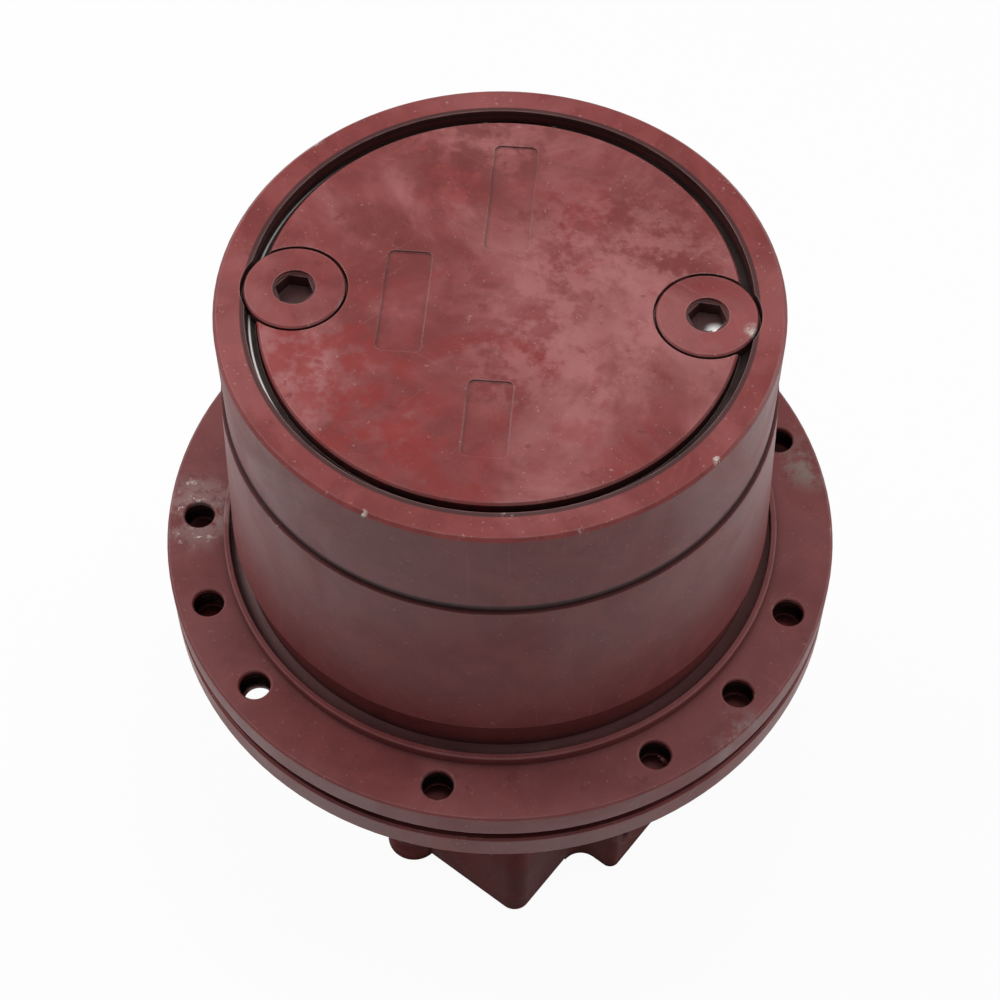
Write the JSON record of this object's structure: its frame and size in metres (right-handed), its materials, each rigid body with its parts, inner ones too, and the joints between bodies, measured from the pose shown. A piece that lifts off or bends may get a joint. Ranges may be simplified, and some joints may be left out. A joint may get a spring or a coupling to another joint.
{
  "type": "excavator final drive",
  "caption": "Travel final drive for a tracked excavator: a flanged drum with a two-stage planetary gear train turning on a fixed hub that holds an axial piston motor and valve block.",
  "frame": {"origin": "centre of the frame face, the flat underside of the hub's bolt flange", "axes": "+Z along the drive's axis, from the track frame out towards the drum's cover; the valve block is below the origin; Y runs through the middle one of three sprocket holes, and the oil plugs lie near X"},
  "size_m": [0.309, 0.309, 0.3625],
  "materials": {
    "red_paint": "semi-gloss",
    "steel": "satin",
    "bronze": "satin",
    "rubber": "matte",
    "friction": "matte"
  },
  "bodies": {
    "hub": {"hub_spindle": "red_paint", "lower_inner_race": "steel", "upper_inner_race": "steel", "bearing_spacer": "steel", "bearing_nut": "steel", "fixed_seal_ring": "steel", "fixed_seal_rubber": "rubber", "second_carrier": "steel", "carrier_snap_ring": "steel", "second_planet_pins": "steel", "second_planet_washers": "bronze", "front_shaft_bearing": "steel", "rear_shaft_bearing": "steel", "shaft_seal": "rubber", "valve_plate": "steel", "brake_plates": "steel", "brake_springs": "steel", "valve_block": "red_paint", "block_bolts": "steel", "block_dowels": "steel", "joint_seal": "rubber", "spool_springs": "steel", "spool_caps": "red_paint", "relief_valves": "red_paint", "gauge_plugs": "steel"},
    "drum": {"drum_housing": "red_paint", "cover": "red_paint", "cover_seal": "rubber", "cover_snap_ring": "steel", "oil_plug_left": "red_paint", "oil_plug_right": "red_paint", "plug_seals": "rubber", "thrust_pad": "bronze", "lower_outer_race": "steel", "upper_outer_race": "steel", "turning_seal_ring": "steel", "turning_seal_rubber": "rubber"},
    "first_carrier": {"first_carrier": "steel", "first_planet_pins": "steel", "first_planet_washers": "bronze", "second_sun": "steel"},
    "bearing_rollers": {"lower_bearing_rollers": "steel", "upper_bearing_rollers": "steel"},
    "rotor": {"drive_shaft": "steel", "first_sun": "steel", "cylinder_block": "steel", "pistons": "steel", "retainer_plate": "steel", "brake_discs": "friction"},
    "swash_plate": {"swash_plate": "steel"},
    "brake_piston": {"brake_piston": "steel"},
    "counterbalance_spool": {"counterbalance_spool": "steel"},
    "first_planet_1": {"first_planet_1": "steel"},
    "first_planet_2": {"first_planet_2": "steel"},
    "first_planet_3": {"first_planet_3": "steel"},
    "second_planet_1": {"second_planet_1": "steel"},
    "second_planet_2": {"second_planet_2": "steel"},
    "second_planet_3": {"second_planet_3": "steel"},
    "second_planet_4": {"second_planet_4": "steel"}
  },
  "joints": [
    {"name": "drum_spin", "type": "hinge", "parent": "hub", "child": "drum", "pos_m": [0, 0, 0.1], "axis": [0, 0, 1], "continuous": true},
    {"name": "first_carrier_spin", "type": "hinge", "parent": "hub", "child": "first_carrier", "pos_m": [0, 0, 0.155], "axis": [0, 0, 1], "continuous": true},
    {"name": "rotor_spin", "type": "hinge", "parent": "hub", "child": "rotor", "pos_m": [0, 0, 0], "axis": [0, 0, 1], "continuous": true},
    {"name": "bearing_rollers_spin", "type": "hinge", "parent": "hub", "child": "bearing_rollers", "pos_m": [0, 0, 0.07], "axis": [0, 0, 1], "continuous": true},
    {"name": "first_planet_1_spin", "type": "hinge", "parent": "first_carrier", "child": "first_planet_1", "pos_m": [0.0585, 0, 0.17045], "axis": [0, 0, 1], "continuous": true},
    {"name": "first_planet_2_spin", "type": "hinge", "parent": "first_carrier", "child": "first_planet_2", "pos_m": [-0.02925, 0.05066, 0.17045], "axis": [0, 0, 1], "continuous": true},
    {"name": "first_planet_3_spin", "type": "hinge", "parent": "first_carrier", "child": "first_planet_3", "pos_m": [-0.02925, -0.05066, 0.17045], "axis": [0, 0, 1], "continuous": true},
    {"name": "second_planet_1_spin", "type": "hinge", "parent": "hub", "child": "second_planet_1", "pos_m": [0.06175, 0, 0.13695], "axis": [0, 0, 1], "continuous": true},
    {"name": "second_planet_2_spin", "type": "hinge", "parent": "hub", "child": "second_planet_2", "pos_m": [0, 0.06175, 0.13695], "axis": [0, 0, 1], "continuous": true},
    {"name": "second_planet_3_spin", "type": "hinge", "parent": "hub", "child": "second_planet_3", "pos_m": [-0.06175, 0, 0.13695], "axis": [0, 0, 1], "continuous": true},
    {"name": "second_planet_4_spin", "type": "hinge", "parent": "hub", "child": "second_planet_4", "pos_m": [0, -0.06175, 0.13695], "axis": [0, 0, 1], "continuous": true},
    {"name": "swash_tilt", "type": "hinge", "parent": "hub", "child": "swash_plate", "pos_m": [0, 0, 0.014], "axis": [1, 0, 0], "range_deg": [-6, 0]},
    {"name": "brake_release", "type": "slide", "parent": "hub", "child": "brake_piston", "axis": [0, 0, 1], "range_m": [0, 0.002], "stiffness_N_per_m": 20000, "springref_m": -0.004, "deforming": ["brake_springs"]},
    {"name": "spool_slide", "type": "slide", "parent": "hub", "child": "counterbalance_spool", "axis": [-0.8918, 0.4524, 0], "range_m": [-0.005, 0.005], "stiffness_N_per_m": 4000}
  ],
  "couplings": [
    {"joint": "first_carrier_spin", "follows": "drum_spin", "ratio": -3.75},
    {"joint": "rotor_spin", "follows": "drum_spin", "ratio": -27.5},
    {"joint": "bearing_rollers_spin", "follows": "drum_spin", "ratio": 0.5259},
    {"joint": "first_planet_1_spin", "follows": "drum_spin", "ratio": 11.875},
    {"joint": "first_planet_2_spin", "follows": "drum_spin", "ratio": 11.875},
    {"joint": "first_planet_3_spin", "follows": "drum_spin", "ratio": 11.875},
    {"joint": "second_planet_1_spin", "follows": "drum_spin", "ratio": 2.7273},
    {"joint": "second_planet_2_spin", "follows": "drum_spin", "ratio": 2.7273},
    {"joint": "second_planet_3_spin", "follows": "drum_spin", "ratio": 2.7273},
    {"joint": "second_planet_4_spin", "follows": "drum_spin", "ratio": 2.7273}
  ]
}
